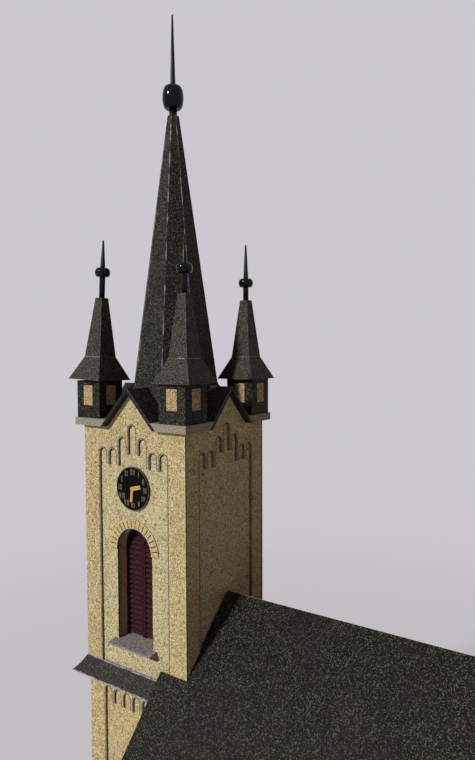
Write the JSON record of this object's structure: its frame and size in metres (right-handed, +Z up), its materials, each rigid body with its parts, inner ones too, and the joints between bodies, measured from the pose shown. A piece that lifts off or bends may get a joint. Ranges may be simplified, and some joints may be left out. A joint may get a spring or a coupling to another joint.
{
  "type": "card model of a church",
  "caption": "Card model of a church: square clock tower with four gables, corner turrets and an octagonal spire, at the west end of a gabled nave.",
  "frame": {"origin": "on the ground plane, at the middle of the whole footprint's bounding box", "axes": "+Z up along the tower; +X east, along the nave away from the tower; -Y is the south side"},
  "size_m": [0.1704, 0.09, 0.2618],
  "materials": {
    "sandstone_print": "matt printed card, pale yellow sandstone speckle",
    "slate_print": "matt printed card, dark granular slate",
    "grey_card": "matt light grey card",
    "oxblood_card": "matt printed card, dark red-brown",
    "dial_paper": "satin black paper with gold numerals",
    "gold_card": "satin gold paper",
    "window_card": "dark satin printed card",
    "black_rod": "black semi-gloss paint on a thin wooden stick",
    "black_bead": "glossy opaque black glass bead"
  },
  "bodies": {
    "root": {"tower_wall_south": "sandstone_print", "tower_wall_east": "sandstone_print", "tower_wall_north": "sandstone_print", "tower_wall_west": "sandstone_print", "tower_relief_south": "sandstone_print", "tower_relief_east": "sandstone_print", "tower_relief_north": "sandstone_print", "tower_relief_west": "sandstone_print", "tower_deck": "grey_card", "belfry_linings": "sandstone_print", "belfry_louvres": "oxblood_card", "belfry_sills": "grey_card", "brick_arches": "sandstone_print", "clock_dials": "dial_paper", "clock_hands": "gold_card", "corner_cornices": "grey_card", "gable_roof_south": "slate_print", "gable_roof_east": "slate_print", "gable_roof_north": "slate_print", "gable_roof_west": "slate_print", "turret_bodies": "slate_print", "turret_roofs": "slate_print", "turret_rods": "black_rod", "turret_beads": "black_bead", "spire": "slate_print", "spire_rod": "black_rod", "spire_bead": "black_bead", "skirt_roof_south": "slate_print", "skirt_roof_north": "slate_print", "skirt_roof_west": "slate_print", "base_wall_south": "sandstone_print", "base_wall_east": "sandstone_print", "base_wall_north": "sandstone_print", "base_wall_west": "sandstone_print", "portal_doors": "oxblood_card", "nave_wall_south": "sandstone_print", "nave_wall_north": "sandstone_print", "nave_wall_east": "sandstone_print", "nave_walls_west": "sandstone_print", "nave_panes": "window_card", "nave_sills": "grey_card", "nave_brick_arches": "sandstone_print", "nave_roof_south": "slate_print", "nave_roof_north": "slate_print", "plinth_card": "grey_card"}
  },
  "joints": []
}
